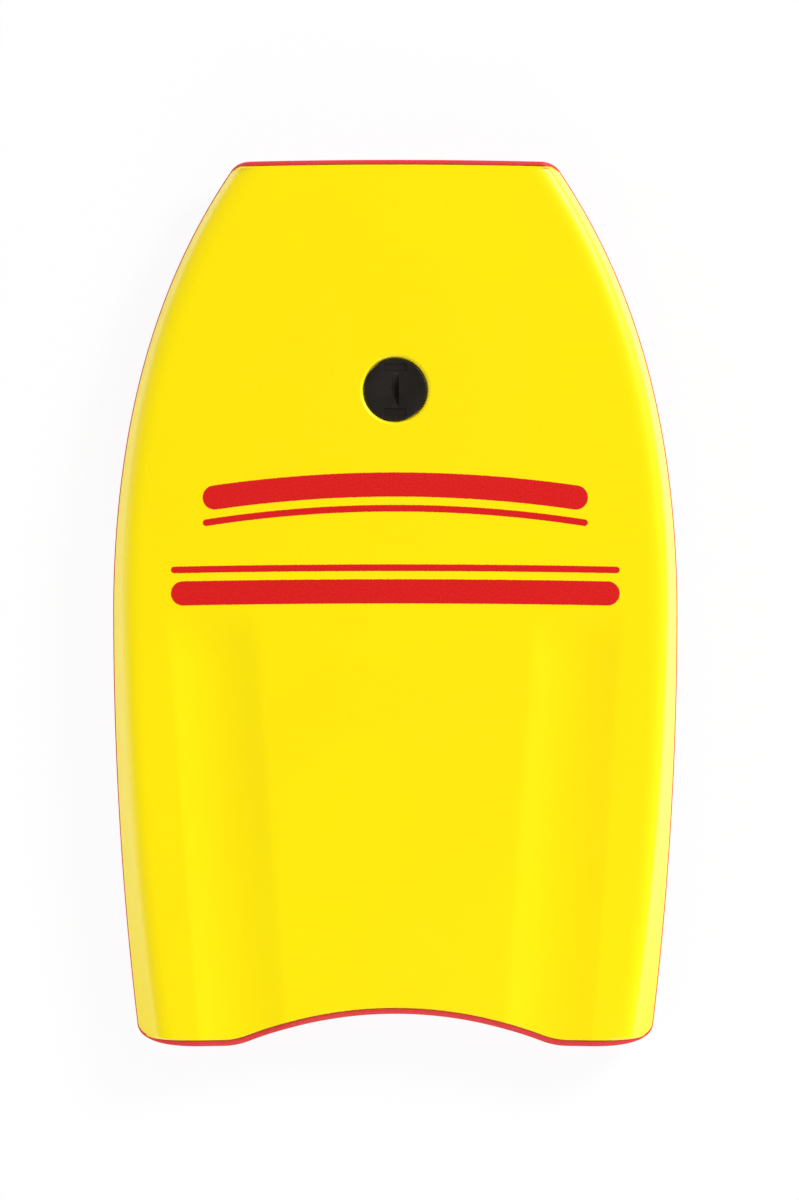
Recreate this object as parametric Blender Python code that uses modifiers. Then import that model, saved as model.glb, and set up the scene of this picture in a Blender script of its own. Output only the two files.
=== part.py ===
"""A child's foam wave board, lying flat with its deck up and its nose towards +Y.

Units are metres with +Z up, and the origin is on the floor under the board's middle.
The hull's pieces are laid out straight first, as rings set in from one outline. One rule
then bends them all, so neighbours keep their glue gap along the whole board.
"""

import math
from collections import namedtuple

import bmesh
import bpy
from mathutils import Matrix, Vector

# Outline seen from above
BOARD_LENGTH = 0.660
BOARD_WIDTH = 0.420
WIDEST_FROM_NOSE = 0.336
NOSE_WIDTH = 0.232
TAIL_WIDTH = 0.380
NOSE_BOW = 0.0015
NOSE_ROUND_ON_END = 0.011
NOSE_ROUND_ON_SIDE = 0.0075
TAIL_ROUND_ON_END = 0.043
TAIL_ROUND_ON_SIDE = 0.0165
CRESCENT_WIDTH = 0.234
CRESCENT_DEPTH = 0.0242
CRESCENT_ROUND = 0.010

# Shares that shape the outline: the late part of the nose's narrowing, the share of a tail
# peg that its two roundings may take, and the least share of a rounding that is kept inside
NOSE_FULLNESS = 0.28
PEG_ROUND_SHARE = 0.62
PEG_FILLET_SHARE = 0.30
LEAST_ROUND_SHARE = 0.2

# Thickness and bend along the board
BOARD_THICKNESS = 0.045
NOSE_THICKNESS = 0.036
TAIL_THICKNESS = 0.040
NOSE_LIFT = 0.010
NOSE_BEND_LENGTH = 0.135
TAIL_TAPER_LENGTH = 0.170

# Sheets and strips of the hull
GLUE_GAP = 0.0003
DECK_THICKNESS = 0.004
BOTTOM_THICKNESS = 0.003
RAIL_THICKNESS = 0.004
NOSE_STRIP_THICKNESS = 0.005
TAIL_STRIP_THICKNESS = 0.0058

# Section of the sides: the red rail below its seam, the yellow chine above it
RAIL_HEIGHT = 0.026
RAIL_LIP_HEIGHT = 0.002
RAIL_TUCK = 0.007
RAIL_SEAM_INSET = 0.0008
CHINE_AT_NOSE = 0.008
CHINE_AT_TAIL = 0.0165
DECK_EDGE_ROUND = 0.003

# Section of the nose and tail ends
END_TUCK = 0.001
END_BELLY_HEIGHT = 0.012
END_LEAN = 0.0016
END_ROUND = 0.004
DECK_END_ROUND = 0.0006

# Arm grooves in the deck, shallow troughs on each side that run out at the tail. The more
# their section's roundness is above 1, the softer their edges are.
GROOVE_LENGTH = 0.337
GROOVE_RUN_IN = 0.050
GROOVE_DEPTH = 0.004
GROOVE_WIDTH = 0.066
GROOVE_START_MARGIN = 0.040
GROOVE_TAIL_MARGIN = 0.044
GROOVE_ROUNDNESS = 1.2

# Leash plug: the cap with its stem, the nut with its barrel, and a washer under each flange
PLUG_FROM_NOSE = 0.1718
CAP_RADIUS = 0.0228
CAP_THICKNESS = 0.003
CAP_SUNK = 0.0006
NUT_RADIUS = 0.022
NUT_THICKNESS = 0.0025
NUT_SUNK = 0.0004
FLANGE_EDGE = 0.0006
WASHER_THICKNESS = 0.0012
WASHER_MARGIN = 0.0015
SEAT_CLEARANCE = 0.0005
DIMPLE_SLOPE = 0.0035
PRESSED_THICKNESS = 0.0035
STEM_RADIUS = 0.0077
STEM_CLEARANCE = 0.0006
STEM_TIP_CLEARANCE = 0.004
BARREL_WALL = 0.0021
BARREL_CLEARANCE = 0.0005
BARREL_TOP_CLEARANCE = 0.002
NUT_FLOOR = 0.005
THREAD_HEIGHT = 0.0012
THREAD_PITCH = 0.004
THREAD_ROOT_HALF = 0.0012
THREAD_CREST_HALF = 0.0005
THREAD_CLEARANCE = 0.00045
SLOT_LENGTH = 0.0265
SLOT_WIDTH = 0.0053
SLOT_DEPTH = 0.0028

# Fineness of the faceted shapes, and the distance under which points are one
NOSE_EDGE_STEPS = 3
CORNER_STEPS = 6
FILLET_STEPS = 2
CRESCENT_STEPS = 5
BEND_STEPS = 5
MIDDLE_STEPS = 5
GROOVE_IN_STEPS = 3
TAIL_STEPS = 5
ROUND_STEPS = 40
THREAD_STEPS = 20
SLOT_STEPS = 64
GROOVE_CUTS = (0, 0.1, 0.25, 0.5, 0.75, 0.9, 1)
WELD = 0.00001

# Heights and radii of the plug, worked out from the sizes above
CAP_TOP = BOARD_THICKNESS - CAP_SUNK
CAP_UNDER = CAP_TOP - CAP_THICKNESS
CAP_WASHER_TOP = CAP_UNDER - GLUE_GAP
CAP_WASHER_BOTTOM = CAP_WASHER_TOP - WASHER_THICKNESS
DECK_SEAT = CAP_WASHER_BOTTOM - GLUE_GAP
DECK_PAN_BOTTOM = DECK_SEAT - PRESSED_THICKNESS
NUT_BOTTOM = NUT_SUNK
NUT_UPPER = NUT_BOTTOM + NUT_THICKNESS
NUT_WASHER_BOTTOM = NUT_UPPER + GLUE_GAP
NUT_WASHER_TOP = NUT_WASHER_BOTTOM + WASHER_THICKNESS
BOTTOM_SEAT = NUT_WASHER_TOP + GLUE_GAP
BOTTOM_PAN_TOP = BOTTOM_SEAT + PRESSED_THICKNESS
BARREL_TOP = DECK_PAN_BOTTOM - BARREL_TOP_CLEARANCE
BORE_FLOOR = NUT_UPPER + NUT_FLOOR
STEM_BOTTOM = BORE_FLOOR + STEM_TIP_CLEARANCE
THREAD_CREST = STEM_RADIUS + THREAD_HEIGHT
BORE_RADIUS = STEM_RADIUS + THREAD_CLEARANCE
GROOVED_RADIUS = THREAD_CREST + THREAD_CLEARANCE
BARREL_RADIUS = GROOVED_RADIUS + BARREL_WALL
HOLE_RADIUS = BARREL_RADIUS + BARREL_CLEARANCE

# Places along the board
HALF_LENGTH = BOARD_LENGTH / 2
WIDEST_Y = HALF_LENGTH - WIDEST_FROM_NOSE
PLUG_Y = HALF_LENGTH - PLUG_FROM_NOSE
DIMPLE_RADIUS = CAP_RADIUS + SEAT_CLEARANCE + DIMPLE_SLOPE
NOSE_BEND_Y = max(HALF_LENGTH - NOSE_BEND_LENGTH, PLUG_Y + DIMPLE_RADIUS + PRESSED_THICKNESS)
GROOVE_Y = GROOVE_LENGTH - HALF_LENGTH
TAIL_TAPER_Y = TAIL_TAPER_LENGTH - HALF_LENGTH

# A ring lies at one depth inside the board all round. Its side inset grows with the chine by
# chine_share, its end inset with the end strip by end_share, and its height changes through
# the corners from side_z to end_z.
Ring = namedtuple("Ring", "side_inset chine_share side_z end_share end_inset end_z")


def half_width(y):
    """Half the board's width at y, before the corners are rounded."""
    if y > WIDEST_Y:
        share = (y - WIDEST_Y) / WIDEST_FROM_NOSE
        narrowing = (1 - NOSE_FULLNESS) * share**2 + NOSE_FULLNESS * share**4
        return BOARD_WIDTH / 2 - (BOARD_WIDTH - NOSE_WIDTH) / 2 * narrowing
    share = (WIDEST_Y - y) / (BOARD_LENGTH - WIDEST_FROM_NOSE)
    return BOARD_WIDTH / 2 - (BOARD_WIDTH - TAIL_WIDTH) / 2 * share**2


def side_slope(y):
    """How fast the half width grows with y."""
    if y > WIDEST_Y:
        share = (y - WIDEST_Y) / WIDEST_FROM_NOSE
        steepness = 2 * (1 - NOSE_FULLNESS) * share + 4 * NOSE_FULLNESS * share**3
        return -(BOARD_WIDTH - NOSE_WIDTH) / 2 * steepness / WIDEST_FROM_NOSE
    share = (WIDEST_Y - y) / (BOARD_LENGTH - WIDEST_FROM_NOSE)
    return (BOARD_WIDTH - TAIL_WIDTH) * share / (BOARD_LENGTH - WIDEST_FROM_NOSE)


def chine_width(y):
    """The chine's width from above, which grows towards the tail."""
    share = (HALF_LENGTH - y) / BOARD_LENGTH
    return CHINE_AT_NOSE + (CHINE_AT_TAIL - CHINE_AT_NOSE) * share**2


def side_x(ring, y):
    """The ring's half width at y."""
    inset = ring.side_inset + ring.chine_share * chine_width(y)
    return half_width(y) - inset * math.hypot(1, side_slope(y))


def nose_y(inset, x):
    """The slightly bowed nose edge, set in by inset."""
    return HALF_LENGTH - NOSE_BOW * (x / (NOSE_WIDTH / 2)) ** 2 - inset


def crossing(start, along, other, other_along):
    """Where two straight lines in plan meet."""
    gap = other - start
    reach = gap.cross(other_along) / along.cross(other_along)
    return start + along * reach


def rounded(start, control, end, share):
    """A point on the curve from start to end that control pulls into a rounded corner."""
    rest = 1 - share
    return start * rest**2 + control * 2 * share * rest + end * share**2


def corner_reach(ring, on_end, on_side, inset, y):
    """How far a ring's corner reaches along its end and along its side.

    A corner is shorter further in. The chine's top line runs straight into the end, where it
    cuts off the side's part of the corner.
    """
    half_turn = (math.pi / 2 - math.atan(abs(side_slope(y)))) / 2
    lost = inset * math.tan(half_turn)
    on_end = max(on_end - lost, on_end * LEAST_ROUND_SHARE)
    on_side = max(on_side - lost, on_side * LEAST_ROUND_SHARE)
    cut = min(ring.chine_share * chine_width(y) / on_end, 1)
    end_part = max(1 - cut, LEAST_ROUND_SHARE)
    side_part = max((1 - math.sqrt(cut)) ** 2, LEAST_ROUND_SHARE)
    return on_end * end_part, on_side * side_part


def nose_corner(ring):
    """Start on the nose edge, control point and end on the side of a ring's nose corner."""
    inset = ring.end_share * NOSE_STRIP_THICKNESS + ring.end_inset
    reach = (NOSE_ROUND_ON_END, NOSE_ROUND_ON_SIDE)
    on_end, on_side = corner_reach(ring, *reach, inset, HALF_LENGTH)
    end_x = side_x(ring, HALF_LENGTH - inset) - on_end
    start = Vector((end_x, nose_y(inset, end_x)))
    bow_slope = -2 * NOSE_BOW * end_x / (NOSE_WIDTH / 2) ** 2
    slope = side_slope(HALF_LENGTH)
    side_y = HALF_LENGTH - NOSE_BOW - inset - on_side * math.cos(math.atan(slope))
    end = Vector((side_x(ring, side_y), side_y))
    control = crossing(start, Vector((1, bow_slope)), end, Vector((side_slope(side_y), 1)))
    return start, control, end


def tail_corner(ring):
    """Start on the peg, control point and end on the side of a ring's tail corner."""
    inset = ring.end_share * TAIL_STRIP_THICKNESS + ring.end_inset
    room = (TAIL_WIDTH - CRESCENT_WIDTH) / 2 * PEG_ROUND_SHARE
    reach = (min(TAIL_ROUND_ON_END, room), TAIL_ROUND_ON_SIDE)
    on_end, on_side = corner_reach(ring, *reach, inset, -HALF_LENGTH)
    peg_y = inset - HALF_LENGTH
    start = Vector((side_x(ring, peg_y) - on_end, peg_y))
    side_y = peg_y + on_side * math.cos(math.atan(side_slope(-HALF_LENGTH)))
    end = Vector((side_x(ring, side_y), side_y))
    control = crossing(start, Vector((1, 0)), end, Vector((side_slope(side_y), 1)))
    return start, control, end


def nose_edge(ring):
    """Points from the middle of the nose to just before its corner."""
    inset = ring.end_share * NOSE_STRIP_THICKNESS + ring.end_inset
    end_x = nose_corner(ring)[0].x
    places = [end_x * step / NOSE_EDGE_STEPS for step in range(NOSE_EDGE_STEPS)]
    return [(x, nose_y(inset, x), ring.end_z) for x in places]


def corner_points(ring, corner, shares):
    """Points round a corner, where share 0 is on the end and share 1 on the side."""
    points = []
    for share in shares:
        spot = rounded(*corner, share)
        height = ring.end_z + (ring.side_z - ring.end_z) * share * share * (3 - 2 * share)
        points.append((spot.x, spot.y, height))
    return points


def steps_between(start, end, steps):
    """Evenly spaced values from start up to, but not with, end."""
    return [start + (end - start) * step / steps for step in range(steps)]


def side_rows():
    """The places along the board, nose first, that every side stretch has points at."""
    deepest = NOSE_STRIP_THICKNESS + DECK_EDGE_ROUND + NOSE_BOW
    first = HALF_LENGTH - NOSE_ROUND_ON_SIDE - deepest
    last = TAIL_ROUND_ON_SIDE + TAIL_STRIP_THICKNESS + DECK_EDGE_ROUND - HALF_LENGTH
    rows = steps_between(first, NOSE_BEND_Y, BEND_STEPS)
    rows += steps_between(NOSE_BEND_Y, GROOVE_Y, MIDDLE_STEPS)
    rows += steps_between(GROOVE_Y, GROOVE_Y - GROOVE_RUN_IN, GROOVE_IN_STEPS)
    rows += steps_between(GROOVE_Y - GROOVE_RUN_IN, last, TAIL_STEPS)
    return rows + [last]


def side_points(ring):
    """Points along the side, between the two corners."""
    return [(side_x(ring, y), y, ring.side_z) for y in side_rows()]


def tail_edge(ring):
    """Points from the peg, past its fillet and along the crescent, to the tail's middle."""
    inset = ring.end_share * TAIL_STRIP_THICKNESS + ring.end_inset
    half_chord = CRESCENT_WIDTH / 2
    radius = (half_chord**2 + CRESCENT_DEPTH**2) / (2 * CRESCENT_DEPTH)
    centre_y = CRESCENT_DEPTH - radius - HALF_LENGTH
    radius += inset
    peg_y = inset - HALF_LENGTH
    sharp_angle = math.acos((peg_y - centre_y) / radius)
    room = (TAIL_WIDTH - CRESCENT_WIDTH) / 2 * PEG_FILLET_SHARE
    reach = min(CRESCENT_ROUND, room)
    peg = Vector((radius * math.sin(sharp_angle) + reach, peg_y))
    angle = sharp_angle - reach / radius
    arc = Vector((radius * math.sin(angle), centre_y + radius * math.cos(angle)))
    control = crossing(peg, Vector((1, 0)), arc, Vector((math.cos(angle), -math.sin(angle))))
    points = []
    for share in steps_between(0, 1, FILLET_STEPS):
        spot = rounded(peg, control, arc, share)
        points.append((spot.x, spot.y, ring.end_z))
    for turn in steps_between(angle, 0, CRESCENT_STEPS) + [0]:
        x = radius * math.sin(turn)
        points.append((x, centre_y + radius * math.cos(turn), ring.end_z))
    return points


def half_ring(ring):
    """The ring's whole right half, from the middle of the nose to the middle of the tail."""
    shares = steps_between(0, 1, CORNER_STEPS) + [1]
    points = nose_edge(ring)
    points += corner_points(ring, nose_corner(ring), shares)
    points += side_points(ring)
    points += corner_points(ring, tail_corner(ring), reversed(shares))
    return points + tail_edge(ring)


def bent(x, y, z):
    """Where a point of the straight layout lies on the finished board."""
    nose_share = max(0, (y - NOSE_BEND_Y) / (HALF_LENGTH - NOSE_BEND_Y))
    tail_share = max(0, (TAIL_TAPER_Y - y) / TAIL_TAPER_LENGTH)
    thickness = BOARD_THICKNESS
    thickness -= (BOARD_THICKNESS - NOSE_THICKNESS) * nose_share**2
    thickness -= (BOARD_THICKNESS - TAIL_THICKNESS) * tail_share**2
    thickness -= groove_depth(abs(x), y)
    return (x, y, NOSE_LIFT * nose_share**2 + z * thickness / BOARD_THICKNESS)


def groove_line(share):
    """Where a line along the arm groove starts and where it meets the tail.

    Share 0 is the groove's inner side and share 1 its outer side.
    """
    further_in = GROOVE_WIDTH * (1 - share)
    start = BOARD_WIDTH / 2 - GROOVE_START_MARGIN - further_in
    tail = TAIL_WIDTH / 2 - GROOVE_TAIL_MARGIN - further_in
    return start, tail


def eased(share):
    """A share held between 0 and 1, with a soft start and end."""
    held = min(1, max(0, share))
    return held * held * (3 - 2 * held)


def groove_depth(x, y):
    """How far the deck is pressed in at a place by the arm groove."""
    along = (GROOVE_Y - y) / GROOVE_LENGTH
    start, tail = groove_line(0)
    across = (x - start - (tail - start) * along) / GROOVE_WIDTH
    trough = max(0, 4 * across * (1 - across)) ** GROOVE_ROUNDNESS
    return GROOVE_DEPTH * trough * eased((GROOVE_Y - y) / GROOVE_RUN_IN)


def cut_through(shape, point, normal, behind=None):
    """Cuts edges into the shape's faces along a plane, all over or only behind a row."""
    faces = shape.faces
    if behind is not None:
        faces = [f for f in faces if all(v.co.y < behind + WELD for v in f.verts)]
    edges = {edge for face in faces for edge in face.edges}
    corners = {corner for face in faces for corner in face.verts}
    bmesh.ops.bisect_plane(
        shape, geom=[*faces, *edges, *corners], dist=WELD, plane_co=point, plane_no=normal
    )


def bend(shape):
    """Divides the shape where the board bends, then moves every point to its place."""
    rows = side_rows()
    for y in rows[: BEND_STEPS + 1] + rows[BEND_STEPS + MIDDLE_STEPS :]:
        cut_through(shape, (0, y, 0), (0, 1, 0))
    for share in GROOVE_CUTS:
        start, tail = groove_line(share)
        normal = (1, (tail - start) / GROOVE_LENGTH, 0)
        cut_through(shape, (start, GROOVE_Y, 0), normal, GROOVE_Y)
    for corner in shape.verts:
        corner.co = bent(*corner.co)
    bmesh.ops.triangulate(shape, faces=shape.faces, quad_method="SHORT_EDGE")


def join_loops(shape, lower, upper, closed):
    """Faces between two rows of corners, facing out when the rows run clockwise."""
    count = len(lower) if closed else len(lower) - 1
    for here in range(count):
        there = (here + 1) % len(lower)
        shape.faces.new((lower[here], upper[here], upper[there], lower[there]))


def stacked_half(rings):
    """The right half of a sheet or core, open in the middle, from its rings."""
    shape = bmesh.new()
    rows = [[shape.verts.new(point) for point in half_ring(ring)] for ring in rings]
    for lower, upper in zip(rows, rows[1:]):
        join_loops(shape, lower, upper, False)
    shape.faces.new(rows[0])
    shape.faces.new(reversed(rows[-1]))
    bend(shape)
    return shape


def strip(rows, start_capped, end_capped):
    """A strip along the edge, whose rows are the lines that its section's corners draw."""
    shape = bmesh.new()
    lines = [[shape.verts.new(point) for point in row] for row in rows]
    for lower, upper in zip(lines, lines[1:] + lines[:1]):
        join_loops(shape, lower, upper, False)
    if start_capped:
        shape.faces.new([line[0] for line in reversed(lines)])
    if end_capped:
        shape.faces.new([line[-1] for line in lines])
    bend(shape)
    return shape


def finish(name, colour, roughness):
    """A plain material."""
    material = bpy.data.materials.new(name)
    material.use_nodes = True
    shader = material.node_tree.nodes["Principled BSDF"]
    shader.inputs["Base Color"].default_value = (*colour, 1)
    shader.inputs["Roughness"].default_value = roughness
    shader.inputs["Metallic"].default_value = 0
    return material


def collection(name):
    """A new collection in the scene."""
    group = bpy.data.collections.new(name)
    bpy.context.scene.collection.children.link(group)
    return group


def added(name, mesh, group, place=(0, 0, 0)):
    """A mesh placed in the scene as an object of that name."""
    piece = bpy.data.objects.new(name, mesh)
    piece.location = place
    group.objects.link(piece)
    return piece


def mesh_of(name, shape):
    """Turns a worked shape into a mesh with soft shading between its sharp edges."""
    mesh = bpy.data.meshes.new(name)
    shape.to_mesh(mesh)
    shape.free()
    mesh.shade_smooth()
    mesh.set_sharp_from_angle(angle=math.radians(30))
    return mesh


def hull_piece(name, shape, material, group, mirrored=True):
    """A piece of the hull, completed by its mirror image when it is only the right half."""
    piece = added(name, mesh_of(name, shape), group)
    piece.data.materials.append(material)
    if mirrored:
        mirror = piece.modifiers.new("left half", "MIRROR")
        mirror.merge_threshold = WELD
    return piece


def turned(name, profile, group, closed=False):
    """A round piece on the plug's axis. Its profile of radii and heights runs downwards."""
    mesh = bpy.data.meshes.new(name)
    edges = [(here, here + 1) for here in range(len(profile) - 1)]
    if closed:
        edges.append((len(profile) - 1, 0))
    mesh.from_pydata([(radius, 0, height) for radius, height in profile], edges, [])
    piece = added(name, mesh, group, (0, PLUG_Y, 0))
    screw = piece.modifiers.new("turn", "SCREW")
    screw.steps = ROUND_STEPS
    screw.render_steps = ROUND_STEPS
    screw.use_merge_vertices = True
    screw.merge_threshold = WELD
    return piece


def combined(piece, other, operation):
    """Joins another shape to the piece or cuts it away."""
    boolean = piece.modifiers.new(other.name, "BOOLEAN")
    boolean.object = other
    boolean.operation = operation


def as_guide(piece):
    """Marks a cutter or a guide, which isn't a piece of the board."""
    piece.hide_render = True
    piece.display_type = "WIRE"
    return piece


def helical_ridge(name, group, inner, crest, widening, low, high, lead):
    """A closed thread ridge on the plug's axis, starting lead turns before its usual place."""
    flank = THREAD_ROOT_HALF + widening
    top = THREAD_CREST_HALF + widening
    profile = [(inner, flank), (crest, top), (crest, -top), (inner, -flank)]
    start = low - lead * THREAD_PITCH
    turns = (high - start) / THREAD_PITCH
    mesh = bpy.data.meshes.new(name)
    corners = [(radius, 0, start + height) for radius, height in profile]
    mesh.from_pydata(corners, [(0, 1), (1, 2), (2, 3), (3, 0)], [])
    guide = added(name, mesh, group, (0, PLUG_Y, 0))
    guide.rotation_euler.z = -lead * 2 * math.pi
    screw = guide.modifiers.new("helix", "SCREW")
    screw.angle = turns * 2 * math.pi
    screw.screw_offset = turns * THREAD_PITCH
    screw.steps = math.ceil(turns * THREAD_STEPS)
    screw.render_steps = screw.steps
    bpy.context.view_layer.update()
    swept = guide.evaluated_get(bpy.context.evaluated_depsgraph_get())
    shape = bmesh.new()
    shape.from_mesh(swept.data)
    guide.modifiers.clear()
    bmesh.ops.holes_fill(shape, edges=[edge for edge in shape.edges if edge.is_boundary])
    bmesh.ops.recalc_face_normals(shape, faces=shape.faces)
    shape.to_mesh(mesh)
    shape.free()
    return as_guide(guide)


def slot_cutter(name, group, face_z, side):
    """A disc on edge that sinks a coin slot along Y into a face; side is +1 for a top face."""
    half = SLOT_LENGTH / 2
    radius = (half**2 + SLOT_DEPTH**2) / (2 * SLOT_DEPTH)
    shape = bmesh.new()
    bmesh.ops.create_cone(
        shape, cap_ends=True, segments=SLOT_STEPS, radius1=radius, radius2=radius, depth=SLOT_WIDTH
    )
    bmesh.ops.rotate(shape, verts=shape.verts, matrix=Matrix.Rotation(math.pi / 2, 3, "Y"))
    height = face_z + side * (radius - SLOT_DEPTH)
    cutter = added(name, mesh_of(name, shape), group, (0, PLUG_Y, height))
    return as_guide(cutter)


def deck_pan(grow, top):
    """Profile of the pressed deck under the cap, or, grown, of the core's pocket for it."""
    wide = DIMPLE_RADIUS + PRESSED_THICKNESS + grow
    narrow = CAP_RADIUS + SEAT_CLEARANCE + PRESSED_THICKNESS / 2 + grow
    under = BOARD_THICKNESS - DECK_THICKNESS
    return [(wide, top), (wide, under), (narrow, DECK_PAN_BOTTOM - grow)]


def bottom_pan(grow, bottom):
    """Profile of the pressed bottom sheet over the nut, or, grown, of the core's pocket."""
    wide = NUT_RADIUS + SEAT_CLEARANCE + 2 * PRESSED_THICKNESS + grow
    narrow = NUT_RADIUS + SEAT_CLEARANCE + PRESSED_THICKNESS / 2 + grow
    return [(narrow, BOTTOM_PAN_TOP + grow), (wide, BOTTOM_THICKNESS), (wide, bottom)]


def chine_lean():
    """How far the chine leans in from upright, at its mean width."""
    rise = BOARD_THICKNESS - RAIL_HEIGHT - GLUE_GAP
    return math.atan((CHINE_AT_NOSE + CHINE_AT_TAIL) / 2 / rise)


def wrapped_run():
    """The deck sheet's thickness measured level through the leaning chine."""
    return DECK_THICKNESS / math.cos(chine_lean())


def strip_section():
    """The strips' section as rings: red rail on the sides, full-height strip at the ends."""
    belly = RAIL_HEIGHT - RAIL_LIP_HEIGHT
    top = BOARD_THICKNESS
    return [
        Ring(RAIL_TUCK + RAIL_THICKNESS, 0, 0, 1, 0, 0),
        Ring(RAIL_TUCK, 0, 0, 0, END_TUCK, 0),
        Ring(0, 0, belly, 0, 0, END_BELLY_HEIGHT),
        Ring(RAIL_SEAM_INSET * 0.2, 0, belly + RAIL_LIP_HEIGHT * 0.5, 0, END_LEAN, top - END_ROUND),
        Ring(
            RAIL_SEAM_INSET * 0.5, 0, belly + RAIL_LIP_HEIGHT * 0.8,
            0.4, END_LEAN * 0.6, top - END_ROUND * 0.2,
        ),
        Ring(RAIL_SEAM_INSET, 0, RAIL_HEIGHT, 1, 0, top),
        Ring(RAIL_SEAM_INSET + RAIL_THICKNESS, 0, RAIL_HEIGHT, 1, 0, top - DECK_THICKNESS),
        Ring(RAIL_THICKNESS, 0, belly, 1, 0, belly),
    ]


def make_core(board, cutters):
    """The foam core, with one bore and two pockets for the plug."""
    belly = RAIL_HEIGHT - RAIL_LIP_HEIGHT
    low = BOTTOM_THICKNESS + GLUE_GAP
    high = BOARD_THICKNESS - DECK_THICKNESS - GLUE_GAP
    rise = BOARD_THICKNESS - RAIL_HEIGHT - GLUE_GAP
    tuck = RAIL_TUCK * (1 - low / belly)
    seam = RAIL_SEAM_INSET + max(RAIL_THICKNESS, wrapped_run()) + GLUE_GAP
    rings = [
        Ring(tuck + RAIL_THICKNESS + GLUE_GAP, 0, low, 1, GLUE_GAP, low),
        Ring(RAIL_THICKNESS + GLUE_GAP, 0, belly, 1, GLUE_GAP, belly),
        Ring(seam, 0, RAIL_HEIGHT, 1, GLUE_GAP, high - 2 * GLUE_GAP),
        Ring(seam, 1 - DECK_THICKNESS / rise, high, 1, 3 * GLUE_GAP, high),
    ]
    white = finish("white_bead_foam", (0.86, 0.86, 0.84), 0.8)
    core = hull_piece("foam_core", stacked_half(rings), white, board)
    above = BOARD_THICKNESS + DIMPLE_SLOPE
    below = -NUT_THICKNESS
    profile = [(0, above), *deck_pan(GLUE_GAP, above)]
    profile += [(HOLE_RADIUS, DECK_PAN_BOTTOM - GLUE_GAP), (HOLE_RADIUS, BOTTOM_PAN_TOP + GLUE_GAP)]
    profile += [*bottom_pan(GLUE_GAP, below), (0, below)]
    combined(core, as_guide(turned("core_pockets", profile, cutters)), "DIFFERENCE")


def make_deck(board, cutters):
    """The deck sheet, wrapped over the chines and pressed down in a dimple round the plug."""
    top = BOARD_THICKNESS
    under = top - DECK_THICKNESS
    rise = top - RAIL_HEIGHT - GLUE_GAP
    lean = chine_lean()
    seam = RAIL_SEAM_INSET
    inner = seam + wrapped_run()
    edge_low = DECK_EDGE_ROUND * math.cos(lean)
    edge_back = DECK_EDGE_ROUND * math.sin(lean)
    edge_in = (DECK_EDGE_ROUND - edge_back) / 4
    rings = [
        Ring(inner, 1 - DECK_THICKNESS / rise, under, 1, 3 * GLUE_GAP, under),
        Ring(inner, 0, RAIL_HEIGHT + GLUE_GAP, 1, GLUE_GAP, under),
        Ring(seam, 0, RAIL_HEIGHT + GLUE_GAP, 1, GLUE_GAP, top - DECK_END_ROUND),
        Ring(seam - edge_back, 1, top - edge_low, 1, GLUE_GAP + DECK_END_ROUND, top),
        Ring(seam + edge_in, 1, top - edge_low / 4, 1, GLUE_GAP + 2 * DECK_END_ROUND, top),
        Ring(seam + DECK_EDGE_ROUND, 1, top, 1, GLUE_GAP + 3 * DECK_END_ROUND, top),
    ]
    yellow = finish("yellow_deck_foam", (1.0, 0.80, 0.004), 0.55)
    deck = hull_piece("deck_skin", stacked_half(rings), yellow, board)
    middle = top - DECK_THICKNESS / 2
    profile = [(0, middle), *deck_pan(0, middle), (0, DECK_PAN_BOTTOM)]
    combined(deck, as_guide(turned("deck_pan", profile, cutters)), "UNION")
    seat = CAP_RADIUS + SEAT_CLEARANCE
    slope_foot = top - DIMPLE_SLOPE
    profile = [(0, top + DIMPLE_SLOPE), (seat + 2 * DIMPLE_SLOPE, top + DIMPLE_SLOPE)]
    profile += [(seat, slope_foot), (seat, DECK_SEAT), (HOLE_RADIUS, DECK_SEAT)]
    profile += [(HOLE_RADIUS, BARREL_TOP), (0, BARREL_TOP)]
    combined(deck, as_guide(turned("deck_dimple", profile, cutters)), "DIFFERENCE")


def make_bottom(board, cutters):
    """The slick bottom sheet, pressed up into a pocket for the nut's flange."""
    belly = RAIL_HEIGHT - RAIL_LIP_HEIGHT
    inner = RAIL_THICKNESS + GLUE_GAP
    tuck = RAIL_TUCK * (1 - BOTTOM_THICKNESS / belly)
    rings = [
        Ring(RAIL_TUCK + inner, 0, 0, 1, GLUE_GAP, 0),
        Ring(tuck + inner, 0, BOTTOM_THICKNESS, 1, GLUE_GAP, BOTTOM_THICKNESS),
    ]
    red = finish("red_slick_sheet", (0.70, 0.020, 0.022), 0.28)
    bottom = hull_piece("bottom_skin", stacked_half(rings), red, board)
    middle = BOTTOM_THICKNESS / 2
    profile = [(0, BOTTOM_PAN_TOP), *bottom_pan(0, middle), (0, middle)]
    combined(bottom, as_guide(turned("bottom_pan", profile, cutters)), "UNION")
    seat = NUT_RADIUS + SEAT_CLEARANCE
    above = BOTTOM_PAN_TOP + BARREL_TOP_CLEARANCE
    profile = [(0, above), (HOLE_RADIUS, above), (HOLE_RADIUS, BOTTOM_SEAT)]
    profile += [(seat, BOTTOM_SEAT), (seat, -NUT_THICKNESS), (0, -NUT_THICKNESS)]
    combined(bottom, as_guide(turned("bottom_pocket", profile, cutters)), "DIFFERENCE")


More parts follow.
